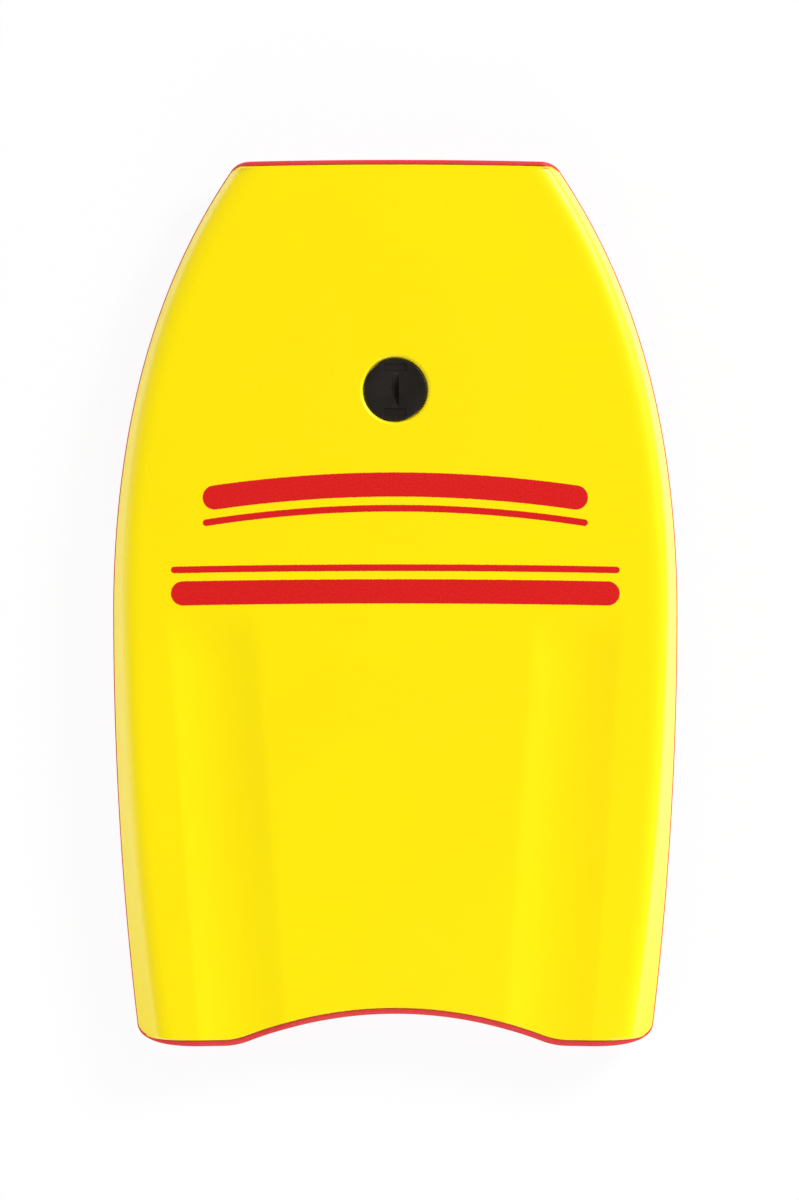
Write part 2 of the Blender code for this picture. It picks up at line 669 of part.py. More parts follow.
def make_strips(board):
    """The red edge: a strip at each end and a rail on each side, butted in mid corner."""
    section = strip_section()
    nose_rows, rail_rows, tail_rows = [], [], []
    shares = steps_between(0, 1, CORNER_STEPS) + [1]
    split = shares[len(shares) // 2]
    innermost = section[0]
    nose_start, _, nose_end = nose_corner(innermost)
    tail_start, _, tail_end = tail_corner(innermost)
    nose_part = GLUE_GAP / 2 / (nose_end - nose_start).length
    tail_part = GLUE_GAP / 2 / (tail_end - tail_start).length
    before = [share for share in shares if share < split]
    after = [share for share in shares if share > split]
    for ring in section:
        nose, tail = nose_corner(ring), tail_corner(ring)
        row = nose_edge(ring) + corner_points(ring, nose, before + [split - nose_part])
        nose_rows.append(row)
        row = corner_points(ring, nose, [split + nose_part] + after) + side_points(ring)
        rail_rows.append(row + corner_points(ring, tail, after[::-1] + [split + tail_part]))
        row = corner_points(ring, tail, [split - tail_part] + before[::-1])
        tail_rows.append(row + tail_edge(ring))
    red = (0.76, 0.022, 0.022)
    nose_red = finish("red_nose_foam", red, 0.5)
    hull_piece("nose_strip", strip(nose_rows, False, True), nose_red, board)
    tail_red = finish("red_tail_foam", red, 0.5)
    hull_piece("tail_strip", strip(tail_rows, True, False), tail_red, board)
    right_red = finish("red_right_rail_foam", red, 0.5)
    rail = strip(rail_rows, True, True)
    right = hull_piece("rail_skin_right", rail, right_red, board, mirrored=False)
    mesh = right.data.copy()
    mesh.transform(Matrix.Scale(-1, 4, (1, 0, 0)))
    mesh.flip_normals()
    mesh.materials.clear()
    mesh.materials.append(finish("red_left_rail_foam", red, 0.5))
    added("rail_skin_left", mesh, board)


def make_cap(board, cutters):
    """The plug's head with its coin slot, and its threaded stem."""
    profile = [(0, CAP_TOP), (CAP_RADIUS - FLANGE_EDGE, CAP_TOP), (CAP_RADIUS, CAP_TOP - FLANGE_EDGE)]
    profile += [(CAP_RADIUS, CAP_UNDER), (STEM_RADIUS, CAP_UNDER)]
    profile += [(STEM_RADIUS, STEM_BOTTOM + FLANGE_EDGE), (STEM_RADIUS - FLANGE_EDGE, STEM_BOTTOM)]
    cap = turned("leash_plug_cap", profile + [(0, STEM_BOTTOM)], board)
    cap.data.materials.append(finish("black_cap_plastic", (0.020, 0.018, 0.018), 0.55))
    low = STEM_BOTTOM + FLANGE_EDGE + THREAD_ROOT_HALF
    high = BARREL_TOP - THREAD_ROOT_HALF
    inner = STEM_RADIUS - THREAD_CLEARANCE
    ridge = helical_ridge("stem_thread", cutters, inner, THREAD_CREST, 0, low, high, 0)
    combined(cap, ridge, "UNION")
    combined(cap, slot_cutter("cap_slot", cutters, CAP_TOP, 1), "DIFFERENCE")


def make_nut(board, cutters):
    """The plug's lower half: a flange with a coin slot, and a barrel threaded inside."""
    profile = [(0, BARREL_TOP), (BARREL_RADIUS - FLANGE_EDGE, BARREL_TOP)]
    profile += [(BARREL_RADIUS, BARREL_TOP - FLANGE_EDGE), (BARREL_RADIUS, NUT_UPPER)]
    profile += [(NUT_RADIUS, NUT_UPPER), (NUT_RADIUS, NUT_BOTTOM + FLANGE_EDGE)]
    profile += [(NUT_RADIUS - FLANGE_EDGE, NUT_BOTTOM), (0, NUT_BOTTOM)]
    nut = turned("leash_plug_nut", profile, board)
    nut.data.materials.append(finish("black_nut_plastic", (0.020, 0.018, 0.018), 0.6))
    above = BARREL_TOP + THREAD_PITCH
    profile = [(0, above), (BORE_RADIUS, above), (BORE_RADIUS, BORE_FLOOR), (0, BORE_FLOOR)]
    combined(nut, as_guide(turned("nut_bore", profile, cutters)), "DIFFERENCE")
    low = STEM_BOTTOM + FLANGE_EDGE + THREAD_ROOT_HALF
    inner = STEM_RADIUS + THREAD_CLEARANCE / 2
    ridge = helical_ridge(
        "nut_thread", cutters, inner, GROOVED_RADIUS, THREAD_CLEARANCE, low, above, 0.5
    )
    combined(nut, ridge, "DIFFERENCE")
    combined(nut, slot_cutter("nut_slot", cutters, NUT_BOTTOM, -1), "DIFFERENCE")


def make_washers(board):
    """The soft rings under the plug's two flanges."""
    outer = CAP_RADIUS - WASHER_MARGIN
    inner = THREAD_CREST + STEM_CLEARANCE
    profile = [(inner, CAP_WASHER_TOP), (outer, CAP_WASHER_TOP)]
    profile += [(outer, CAP_WASHER_BOTTOM), (inner, CAP_WASHER_BOTTOM)]
    washer = turned("cap_washer", profile, board, closed=True)
    washer.data.materials.append(finish("dark_cap_washer_rubber", (0.03, 0.03, 0.03), 0.8))
    outer = NUT_RADIUS - WASHER_MARGIN
    profile = [(HOLE_RADIUS, NUT_WASHER_TOP), (outer, NUT_WASHER_TOP)]
    profile += [(outer, NUT_WASHER_BOTTOM), (HOLE_RADIUS, NUT_WASHER_BOTTOM)]
    washer = turned("nut_washer", profile, board, closed=True)
    washer.data.materials.append(finish("dark_nut_washer_rubber", (0.03, 0.03, 0.03), 0.8))


def main():
    """Clears the scene and makes every piece."""
    for old in list(bpy.data.objects):
        bpy.data.objects.remove(old)
    board = collection("nipper_board")
    cutters = collection("cutters")
    make_core(board, cutters)
    make_deck(board, cutters)
    make_bottom(board, cutters)
    make_strips(board)
    make_cap(board, cutters)
    make_nut(board, cutters)
    make_washers(board)


main()
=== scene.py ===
import math

import bmesh
import bpy
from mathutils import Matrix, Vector, kdtree


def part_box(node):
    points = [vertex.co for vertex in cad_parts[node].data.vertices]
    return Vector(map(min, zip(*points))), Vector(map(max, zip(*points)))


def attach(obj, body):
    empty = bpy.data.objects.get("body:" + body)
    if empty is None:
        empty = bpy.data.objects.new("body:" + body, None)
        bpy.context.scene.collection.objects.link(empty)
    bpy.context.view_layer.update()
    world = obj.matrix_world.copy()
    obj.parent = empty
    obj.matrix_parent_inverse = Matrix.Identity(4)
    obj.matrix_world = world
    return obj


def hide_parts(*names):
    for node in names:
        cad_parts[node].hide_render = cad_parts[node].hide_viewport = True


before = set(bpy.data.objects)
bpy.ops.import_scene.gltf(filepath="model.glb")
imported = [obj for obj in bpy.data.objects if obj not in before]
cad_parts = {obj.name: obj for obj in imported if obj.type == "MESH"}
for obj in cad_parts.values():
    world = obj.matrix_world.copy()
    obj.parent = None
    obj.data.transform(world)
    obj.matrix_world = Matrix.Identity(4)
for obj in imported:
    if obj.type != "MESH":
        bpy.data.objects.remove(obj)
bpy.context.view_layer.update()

bpy.ops.object.select_all(action="DESELECT")

# Floor, lights and camera.
# A white sweep under a studio sky that is bright low down and dim overhead. The key lamp
# stands off beyond the nose, on the right, and the camera looks straight down on the deck.
floor_size, floor_gap, floor_glow = 8.0, 0.0004, 0.93
bpy.ops.mesh.primitive_plane_add(size=floor_size, location=(0, 0, -floor_gap))
floor = bpy.context.object
floor.name = "studio_floor"
floor_finish = bpy.data.materials.new("studio_floor_white")
floor_finish.use_nodes = True
floor_tree = floor_finish.node_tree
floor_shader = floor_tree.nodes["Principled BSDF"]
floor_shader.inputs["Base Color"].default_value = (0.95, 0.95, 0.95, 1)
floor_shader.inputs["Roughness"].default_value = 0.9
floor_shader.inputs["Specular IOR Level"].default_value = 0.1
floor.data.materials.append(floor_finish)


def put(tree, kind, feeds=(), **settings):
    """Adds a node to a tree, sets it up, and feeds its inputs with values or other sockets."""
    node = tree.nodes.new("ShaderNode" + kind)
    for name, value in settings.items():
        setattr(node, name, value)
    for place, value in dict(feeds).items():
        if isinstance(value, bpy.types.NodeSocket):
            tree.links.new(value, node.inputs[place])
        else:
            node.inputs[place].default_value = value
    return node


floor_white = put(floor_tree, "Emission", {"Color": (1, 1, 1, 1), "Strength": 1.0})
floor_seen = put(floor_tree, "LightPath").outputs["Is Camera Ray"]
floor_share = put(floor_tree, "Math", {0: floor_seen, 1: floor_glow}, operation="MULTIPLY").outputs[0]
floor_feeds = {0: floor_share, 1: floor_shader.outputs[0], 2: floor_white.outputs[0]}
floor_look = put(floor_tree, "MixShader", floor_feeds)
floor_tree.links.new(floor_look.outputs[0], floor_tree.nodes["Material Output"].inputs["Surface"])

sky_low, sky_middle, sky_high = 1.62, 0.51, 0.13
low_until, middle_at, high_from = 0.05, 0.35, 0.9
sky = bpy.data.worlds.new("studio_sky")
sky.use_nodes = True
sky_tree = sky.node_tree
sky_ray = put(sky_tree, "TexCoord").outputs["Generated"]
sky_rise = put(sky_tree, "SeparateXYZ", {"Vector": sky_ray}).outputs["Z"]
sky_shade = put(sky_tree, "ValToRGB", {"Fac": sky_rise})
sky_ramp = sky_shade.color_ramp
sky_ramp.elements[0].color = (sky_low, sky_low, sky_low, 1)
sky_ramp.elements[0].position = low_until
sky_ramp.elements[1].color = (sky_high, sky_high, sky_high, 1)
sky_ramp.elements[1].position = high_from
sky_ramp.elements.new(middle_at).color = (sky_middle, sky_middle, sky_middle, 1)
sky_seen = put(sky_tree, "LightPath").outputs["Is Camera Ray"]
sky_feeds = {0: sky_seen, 6: sky_shade.outputs["Color"], 7: (1, 1, 1, 1)}
sky_mix = put(sky_tree, "Mix", sky_feeds, data_type="RGBA")
sky_tree.links.new(sky_mix.outputs[2], sky_tree.nodes["Background"].inputs["Color"])
bpy.context.scene.world = sky


def soft_lamp(name, place, size, power):
    """A square lamp that faces the board."""
    lamp = bpy.data.lights.new(name, "AREA")
    lamp.size = size
    lamp.energy = power
    holder = bpy.data.objects.new(name, lamp)
    holder.location = place
    holder.rotation_euler = (-Vector(place)).to_track_quat("-Z", "Y").to_euler()
    bpy.context.scene.collection.objects.link(holder)


soft_lamp("key_lamp", (3.0, 2.5, 2.3), 1.2, 189)
soft_lamp("left_fill", (-2.1, 0.0, 0.7), 1.2, 13)
soft_lamp("tail_fill", (0.3, -1.6, 1.0), 1.0, 13)

frame_px = (799, 1200)
board_middle_px = (395.3, 603.5)
mm_per_px = 0.744
view_distance, outline_height = 3.2, 0.026
camera = bpy.data.cameras.new("overhead")
camera.sensor_fit = "VERTICAL"
camera.angle = 2 * math.atan(frame_px[1] * mm_per_px / 1000 / 2 / view_distance)
camera_holder = bpy.data.objects.new("overhead", camera)
across_mm = (frame_px[0] / 2 - board_middle_px[0]) * mm_per_px
along_mm = (board_middle_px[1] - frame_px[1] / 2) * mm_per_px
camera_holder.location = (across_mm / 1000, along_mm / 1000, outline_height + view_distance)
bpy.context.scene.collection.objects.link(camera_holder)
bpy.context.scene.camera = camera_holder
bpy.context.scene.view_settings.view_transform = "Standard"

# Deck sheet.
# Closed-cell foam sheet with a fine embossed skin, heat-formed over the core and wrapped
# over both chines. It is pressed into two arm grooves and into a dimple round the plug.
board_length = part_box("tail_strip")[0].y * -2
board_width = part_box("rail_skin_right")[1].x * 2
cap_sunk = 0.0006
board_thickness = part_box("leash_plug_cap")[1].z + cap_sunk
nose_thickness, tail_thickness = 0.036, 0.040
nose_lift, nose_bend_length, tail_taper_length = 0.010, 0.135, 0.170
widest_from_nose, nose_width, tail_width = 0.336, 0.232, 0.380
nose_fullness, nose_bow = 0.28, 0.0015
nose_round, tail_round, least_round_share = (0.011, 0.0075), (0.043, 0.0165), 0.2
crescent_width, crescent_depth, crescent_round = 0.234, 0.0242, 0.010
glue_gap, deck_thickness = 0.0003, 0.004
nose_strip_thickness, tail_strip_thickness = 0.005, 0.0058
rail_height, seam_inset = 0.026, 0.0008
chine_at_nose, chine_at_tail = 0.008, 0.0165
deck_edge_round, deck_edge_fall, deck_end_round = 0.007, 0.011, 0.0006
groove_length, groove_run_in, groove_depth = 0.337, 0.050, 0.004
groove_width, groove_start_margin, groove_tail_margin = 0.066, 0.040, 0.044
groove_roundness = 1.2
half_length = board_length / 2
widest_y = half_length - widest_from_nose
nose_bend_y = half_length - nose_bend_length
tail_taper_y = tail_taper_length - half_length
groove_y = groove_length - half_length
nose_steps, corner_steps, side_steps, fillet_steps = 60, 8, 150, 6


def half_width(y):
    """Half the board's width at y, before its corners are rounded."""
    if y > widest_y:
        share = (y - widest_y) / widest_from_nose
        narrowing = (1 - nose_fullness) * share**2 + nose_fullness * share**4
        return board_width / 2 - (board_width - nose_width) / 2 * narrowing
    share = (widest_y - y) / (board_length - widest_from_nose)
    return board_width / 2 - (board_width - tail_width) / 2 * share**2


def side_slope(y):
    """How fast the half width grows with y."""
    return (half_width(y + 0.0001) - half_width(y - 0.0001)) / 0.0002


def chine_width(y):
    """The chine's width from above, which grows towards the tail."""
    return chine_at_nose + (chine_at_tail - chine_at_nose) * ((half_length - y) / board_length) ** 2


def side_x(ring, y):
    """The ring's half width at y."""
    return half_width(y) - (ring[0] + ring[1] * chine_width(y)) * math.hypot(1, side_slope(y))


def crossing(start, along, other, other_along):
    """Where two straight lines in plan meet."""
    return start + along * ((other - start).cross(other_along) / along.cross(other_along))


def rounded(start, control, end, share):
    """A point on the curve from start to end that control pulls into a corner."""
    rest = 1 - share
    return start * rest**2 + control * 2 * share * rest + end * share**2


def spread(start, end, steps):
    """Evenly spaced values from start to end, both included."""
    return [start + (end - start) * step / steps for step in range(steps + 1)]


def edge_runs(ring, joint=0.0):
    """Three runs of points round the board's right half, at one depth inside its edge.

    A ring is its side inset, chine share and side height, then its strip share, end inset and
    end height. The runs are the nose to mid corner, the side, and the tail from mid corner.
    They keep half a joint's width from the middle of each corner. The chine's top line runs
    straight into the end, where it cuts off the side's part of the corner.
    """
    nose_inset = ring[3] * nose_strip_thickness + ring[4]
    tail_inset = ring[3] * tail_strip_thickness + ring[4]
    corners = []
    for inset, end, (on_end, on_side) in ((nose_inset, 1, nose_round), (tail_inset, -1, tail_round)):
        slope = side_slope(end * half_length)
        half_turn = (math.pi / 2 - math.atan(abs(slope))) / 2
        on_end -= inset * math.tan(half_turn)
        on_side -= inset * math.tan(half_turn)
        cut = min(ring[1] * chine_width(end * half_length) / on_end, 1)
        on_end *= max(1 - cut, least_round_share)
        on_side *= max((1 - math.sqrt(cut)) ** 2, least_round_share)
        bow = nose_bow if end > 0 else 0
        end_y = end * (half_length - inset)
        end_x = side_x(ring, end_y) - on_end
        start = Vector((end_x, end_y - bow * (end_x / (nose_width / 2)) ** 2))
        side_y = end_y - bow - end * on_side * math.cos(math.atan(slope))
        finish = Vector((side_x(ring, side_y), side_y))
        level = Vector((1, -2 * bow * end_x / (nose_width / 2) ** 2))
        control = crossing(start, level, finish, Vector((side_slope(side_y), 1)))
        corners.append((start, control, finish))

    def corner_run(corner, low, high):
        """Points on a corner, whose height changes from the end's to the side's."""
        points = []
        for share in spread(low, high, corner_steps):
            spot = rounded(*corner, share)
            height = ring[5] + (ring[2] - ring[5]) * share * share * (3 - 2 * share)
            points.append(Vector((spot.x, spot.y, height)))
        return points

    nose_corner, tail_corner = corners
    nose_part = joint / 2 / (nose_corner[2] - nose_corner[0]).length
    tail_part = joint / 2 / (tail_corner[2] - tail_corner[0]).length
    nose = []
    for x in spread(0, nose_corner[0].x, nose_steps)[:-1]:
        bow = nose_bow * (x / (nose_width / 2)) ** 2
        nose.append(Vector((x, half_length - nose_inset - bow, ring[5])))
    nose += corner_run(nose_corner, 0, 0.5 - nose_part)
    side = corner_run(nose_corner, 0.5 + nose_part, 1)
    for y in spread(nose_corner[2].y, tail_corner[2].y, side_steps)[1:-1]:
        side.append(Vector((side_x(ring, y), y, ring[2])))
    side += corner_run(tail_corner, 0.5 + tail_part, 1)[::-1]

    half_chord = crescent_width / 2
    radius = (half_chord**2 + crescent_depth**2) / (2 * crescent_depth)
    centre_y = crescent_depth - radius - half_length
    radius += tail_inset
    peg_y = tail_inset - half_length
    sharp = math.acos((peg_y - centre_y) / radius)
    peg = Vector((radius * math.sin(sharp) + crescent_round, peg_y))
    turn = sharp - crescent_round / radius
    arc = Vector((radius * math.sin(turn), centre_y + radius * math.cos(turn)))
    control = crossing(peg, Vector((1, 0)), arc, Vector((math.cos(turn), -math.sin(turn))))
    tail = corner_run(tail_corner, 0, 0.5 - tail_part)[::-1]
    peg_steps = nose_steps // 4
    for x in spread(tail_corner[0].x, peg.x, peg_steps)[1:]:
        tail.append(Vector((x, peg_y, ring[5])))
    for share in spread(0, 1, fillet_steps)[1:]:
        spot = rounded(peg, control, arc, share)
        tail.append(Vector((spot.x, spot.y, ring[5])))
    for angle in spread(turn, 0, nose_steps - peg_steps - fillet_steps)[1:]:
        spot = (radius * math.sin(angle), centre_y + radius * math.cos(angle), ring[5])
        tail.append(Vector(spot))
    return nose, side, tail


def left_of(points):
    """The same points on the board's left side."""
    return [Vector((-point.x, point.y, point.z)) for point in points]


def whole_loop(ring):
    """A ring's closed loop, clockwise from the left nose corner."""
    nose, side, tail = edge_runs(ring)
    top = left_of(nose)[:0:-1] + nose
    bottom = tail + left_of(tail)[-2::-1]
    return top + side[1:] + bottom[1:] + left_of(side)[-2:0:-1]


def eased(share):
    """A share held between 0 and 1, with a soft start and end."""
    held = min(1, max(0, share))
    return held * held * (3 - 2 * held)


def bent(point):
    """Where a point of the straight layout lies on the finished board."""
    x, y, z = abs(point.x), point.y, point.z
    nose_share = max(0, (y - nose_bend_y) / nose_bend_length)
    tail_share = max(0, (tail_taper_y - y) / tail_taper_length)
    outer_start = board_width / 2 - groove_start_margin
    outer_tail = tail_width / 2 - groove_tail_margin
    outer = outer_start + (outer_tail - outer_start) * (groove_y - y) / groove_length
    across = (outer - x) / groove_width
    groove = max(0, 4 * across * (1 - across)) ** groove_roundness
    thickness = board_thickness - (board_thickness - nose_thickness) * nose_share**2
    thickness -= (board_thickness - tail_thickness) * tail_share**2
    thickness -= groove_depth * groove * eased((groove_y - y) / groove_run_in)
    height = nose_lift * nose_share**2 + z * thickness / board_thickness
    return Vector((point.x, point.y, height))


def pull_out(here, there):
    """Extrudes the selected loop of the mesh being edited, from one loop's points to the next."""
    bpy.ops.mesh.extrude_region_move()
    old = kdtree.KDTree(len(here))
    for index, point in enumerate(here):
        old.insert(point, index)
    old.balance()
    mesh = bpy.context.object.data
    shape = bmesh.from_edit_mesh(mesh)
    for corner in shape.verts:
        if corner.select:
            corner.co = there[old.find(corner.co)[1]]
    bmesh.update_edit_mesh(mesh)


def patch(name, ring):
    """A grid drawn out to a ring's four runs, so that its lines follow the board's edge."""
    across = 2 * (nose_steps + corner_steps)
    along = side_steps + 2 * corner_steps
    bpy.ops.mesh.primitive_grid_add(x_subdivisions=across, y_subdivisions=along, size=1)
    piece = bpy.context.object
    piece.name = name
    nose, side, tail = edge_runs(ring)
    top = left_of(nose)[:0:-1] + nose
    bottom = left_of(tail) + tail[-2::-1]
    left = left_of(side)
    for corner in piece.data.vertices:
        i = round((corner.co.x + 0.5) * across)
        j = round((0.5 - corner.co.y) * along)
        u = (top[i].x - top[0].x) / (top[-1].x - top[0].x)
        v = (side[0].y - side[j].y) / (side[0].y - side[-1].y)
        spot = top[i] * (1 - v) + bottom[i] * v + left[j] * (1 - u) + side[j] * u
        spot -= top[0] * (1 - u) * (1 - v) + top[-1] * u * (1 - v)
        spot -= bottom[0] * (1 - u) * v + bottom[-1] * u * v
        corner.co = spot
    return piece


def tidy_shell(piece, angle):
    """Closes and orients a finished shell, and shades it smooth up to an angle in degrees."""
    bpy.context.view_layer.objects.active = piece
    piece.select_set(True)
    bpy.ops.object.mode_set(mode="EDIT")
    bpy.ops.mesh.select_all(action="SELECT")
    bpy.ops.mesh.remove_doubles(threshold=0.00002)
    bpy.ops.mesh.normals_make_consistent(inside=False)
    bpy.ops.object.mode_set(mode="OBJECT")
    bpy.ops.object.shade_smooth_by_angle(angle=math.radians(angle))
    piece.select_set(False)


def sheet(name, rings):
    """A closed sheet over the board: a grid above, the rings round its edge, a grid below."""
    underside = patch(name, rings[-1])
    piece = patch(name, rings[0])
    loops = [whole_loop(ring) for ring in rings]
    bpy.ops.object.mode_set(mode="EDIT")
    bpy.ops.mesh.select_all(action="SELECT")
    bpy.ops.mesh.region_to_loop()
    for here, there in zip(loops, loops[1:]):
        pull_out(here, there)
    bpy.ops.object.mode_set(mode="OBJECT")
    underside.select_set(True)
    bpy.ops.object.join()
    piece.name = name
    for corner in piece.data.vertices:
        corner.co = bent(corner.co)
    tidy_shell(piece, 50)
    return piece


def rings_round(before, corner, after, steps):
    """Rings that round a section off from one ring to another, past a sharp corner ring."""
    rings = []
    for share in spread(0, 1, steps):
        rest = 1 - share
        weights = (rest**2, 2 * share * rest, share**2)
        values = zip(before, corner, after)
        rings.append(tuple(sum(w * v for w, v in zip(weights, three)) for three in values))
    return rings


def drawn_out(name, loops, closed=False):
    """A form pulled from loop to loop, with filled ends, or closed on itself like a ring."""
    bpy.ops.mesh.primitive_circle_add(vertices=len(loops[0]), radius=1)
    piece = bpy.context.object
    piece.name = name
    for corner, point in zip(piece.data.vertices, loops[0]):
        corner.co = point
    bpy.ops.object.mode_set(mode="EDIT")
    bpy.ops.mesh.select_all(action="SELECT")
    if closed:
        loops = loops + loops[:1]
    else:
        bpy.ops.mesh.edge_face_add()
    for here, there in zip(loops, loops[1:]):
        pull_out(here, there)
    bpy.ops.object.mode_set(mode="OBJECT")
    return piece


cap_low, cap_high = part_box("leash_plug_cap")
plug_y = (cap_low.y + cap_high.y) / 2
plug_steps = 96


def turned(name, profile, closed=False):
    """A round form on the plug's axis, from its profile of radii and heights."""
    loops = []
    for radius, height in profile:
        loop = []
        for step in range(plug_steps):
            turn = 2 * math.pi * step / plug_steps
            spot = (radius * math.cos(turn), plug_y + radius * math.sin(turn), height)
            loop.append(Vector(spot))
        loops.append(loop)
    piece = drawn_out(name, loops, closed)
    tidy_shell(piece, 35)
    return piece


def combine(piece, other, operation):
    """Joins a shape to the piece or cuts it away, and clears the shape."""
    boolean = piece.modifiers.new("combine", "BOOLEAN")
    boolean.object = other
    boolean.operation = operation
    boolean.solver = "EXACT"
    bpy.context.view_layer.objects.active = piece
    bpy.ops.object.modifier_apply(modifier=boolean.name)
    bpy.data.objects.remove(other)


def weigh_normals(piece):
    """Keeps flat faces flat to the eye, beside the roundings and cuts."""
    bpy.context.view_layer.objects.active = piece
    weighing = piece.modifiers.new("weigh", "WEIGHTED_NORMAL")
    weighing.keep_sharp = True
    bpy.ops.object.modifier_apply(modifier=weighing.name)


deck_under = board_thickness - deck_thickness
seam_z = rail_height + glue_gap
chine_rise = board_thickness - seam_z
chine_lean = math.atan((chine_at_nose + chine_at_tail) / 2 / chine_rise)
wrapped_run = deck_thickness / math.cos(chine_lean)
edge_back = deck_edge_round * math.sin(chine_lean)
edge_low = deck_edge_round * math.cos(chine_lean)
deck_level = (seam_inset + deck_edge_fall, 1, board_thickness,
              1, glue_gap + 3 * deck_end_round, board_thickness)
deck_corner = (seam_inset, 1, board_thickness,
               1, glue_gap + 1.5 * deck_end_round, board_thickness)
chine_top = (seam_inset - edge_back, 1, board_thickness - edge_low,
             1, glue_gap + deck_end_round, board_thickness - deck_end_round / 4)
seam_lip = (seam_inset, 0, seam_z, 1, glue_gap, board_thickness - deck_end_round)
deck_rings = rings_round(deck_level, deck_corner, chine_top, 10)
inner_lip = (seam_inset + wrapped_run, 0, seam_z, 1, glue_gap, deck_under)
inner_top = (seam_inset + wrapped_run, 1 - deck_thickness / chine_rise, deck_under,
             1, 3 * glue_gap, deck_under)
for share in spread(0, 1, 4)[1:]:
    deck_rings.append(tuple(a + (b - a) * share for a, b in zip(chine_top, seam_lip)))
deck_rings += [inner_lip, inner_top]
deck = sheet("deck_sheet", deck_rings)

flange_room, dimple_slope, pressed_thickness, plug_hole = 0.0005, 0.0035, 0.0035, 0.01195
lip_spread, lip_fold, lip_proud = 0.0005, 0.0011, 0.0001
cut_above, cut_below = 0.004, 0.001
cap_radius = (cap_high.x - cap_low.x) / 2
cap_seat = cap_radius + flange_room
deck_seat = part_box("cap_washer")[0].z - glue_gap
pan_bottom = deck_seat - pressed_thickness
pan_wide = cap_seat + dimple_slope + pressed_thickness
pan_narrow = cap_seat + pressed_thickness / 2
half_way = board_thickness - deck_thickness / 2
pan_bend = deck_under + glue_gap
pan = turned("deck_pan", [(pan_wide, half_way), (pan_wide, pan_bend), (pan_narrow, pan_bottom)])
combine(deck, pan, "UNION")
lip_far = Vector((cap_seat + dimple_slope + lip_spread, board_thickness + lip_proud))
lip_bend = Vector((cap_seat + lip_fold, board_thickness + lip_proud / 2))
lip_foot = Vector((cap_seat, board_thickness - dimple_slope))
dimple = [(lip_far.x, board_thickness + cut_above)]
for share in spread(0, 1, 12):
    spot = rounded(lip_far, lip_bend, lip_foot, share)
    dimple.append((spot.x, spot.y))
dimple += [(cap_seat, deck_seat), (plug_hole, deck_seat), (plug_hole, pan_bottom - cut_below)]
combine(deck, turned("deck_dimple", dimple), "DIFFERENCE")
tidy_shell(deck, 50)
weigh_normals(deck)
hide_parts("deck_skin")
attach(deck, "board")


def effect(name, sizes, outcomes):
    """An empty node group with named numbers going in and named values coming out."""
    group = bpy.data.node_groups.new(name, "ShaderNodeTree")
    for label, value in sizes.items():
        socket = group.interface.new_socket(label, in_out="INPUT", socket_type="NodeSocketFloat")
        socket.default_value = value
    for label in outcomes:
        group.interface.new_socket(label, in_out="OUTPUT", socket_type="NodeSocketFloat")
    given = group.nodes.new("NodeGroupInput").outputs
    result = group.nodes.new("NodeGroupOutput").inputs
    return group, given, result


def finish_of(name, colour, roughness):
    """A new material, its node tree, its shader and its object coordinates."""
    material = bpy.data.materials.new(name)
    material.use_nodes = True
    tree = material.node_tree
    shader = tree.nodes["Principled BSDF"]
    shader.inputs["Base Color"].default_value = (*colour, 1)
    shader.inputs["Roughness"].default_value = roughness
    return material, tree, shader, put(tree, "TexCoord").outputs["Object"]


def in_group(tree, group, values):
    """Places an effect in a material with its own values."""
    node = tree.nodes.new("ShaderNodeGroup")
    node.node_tree = group
    for label, value in values.items():
        node.inputs[label].default_value = value
    return node.outputs


def blended(tree, share, low, high):
    """A colour between two, by a share."""
    feeds = {0: share, 6: low, 7: high}
    return put(tree, "Mix", feeds, data_type="RGBA", clamp_factor=True).outputs[2]


def ranged(tree, value, low, high, new_low, new_high):
    """A value moved from one range into another."""
    feeds = {0: value, 1: low, 2: high, 3: new_low, 4: new_high}
    return put(tree, "MapRange", feeds).outputs[0]


def relief(tree, shader, height, depth):
    """Feeds a height of 0 to 1 to the shader as a relief so many metres deep."""
    bump = put(tree, "Bump", {"Strength": 1.0, "Distance": depth, "Height": height})
    tree.links.new(bump.outputs["Normal"], shader.inputs["Normal"])


def sum_of(tree, first, second, share):
    """The first value plus a share of the second."""
    feeds = {0: second, 1: share, 2: first}
    return put(tree, "Math", feeds, operation="MULTIPLY_ADD").outputs[0]


# An embossed skin: small soft pebbles of about one size, with finer grain on them.
embossed, given, result = effect("embossed_skin", {"Pebbles per metre": 800}, ["Height", "Shade"])
place = put(embossed, "TexCoord").outputs["Object"]
pebbles = put(embossed, "TexVoronoi", {"Vector": place, "Scale": given[0], "Smoothness": 0.6},
              feature="SMOOTH_F1")
grain = put(embossed, "TexNoise", {"Vector": place, "Scale": given[0], "Detail": 2})
height = sum_of(embossed, pebbles.outputs["Distance"], grain.outputs[0], 0.8)
embossed.links.new(ranged(embossed, height, 0.3, 1.3, 0, 1), result["Height"])
embossed.links.new(ranged(embossed, grain.outputs[0], 0.35, 0.65, 0, 1), result["Shade"])

# Slow unevenness over a hand's width, as foam, dye and handling leave on every surface.
uneven, given, result = effect("slow_unevenness", {"Patches per metre": 9}, ["Shade"])
place = put(uneven, "TexCoord").outputs["Object"]
patches = put(uneven, "TexNoise", {"Vector": place, "Scale": given[0], "Detail": 3})
uneven.links.new(ranged(uneven, patches.outputs[0], 0.36, 0.64, 0, 1), result["Shade"])

# A printed stripe with round ends, level or bent up to an arch, as the distance to its edge.
stripe_sizes = {"Middle Y": 0, "Arch radius": 1, "Half length": 0.1, "Half width": 0.01}
stripe, given, result = effect("printed_stripe", stripe_sizes, ["Edge distance"])
spot = put(stripe, "SeparateXYZ", {"Vector": put(stripe, "TexCoord").outputs["Object"]}).outputs


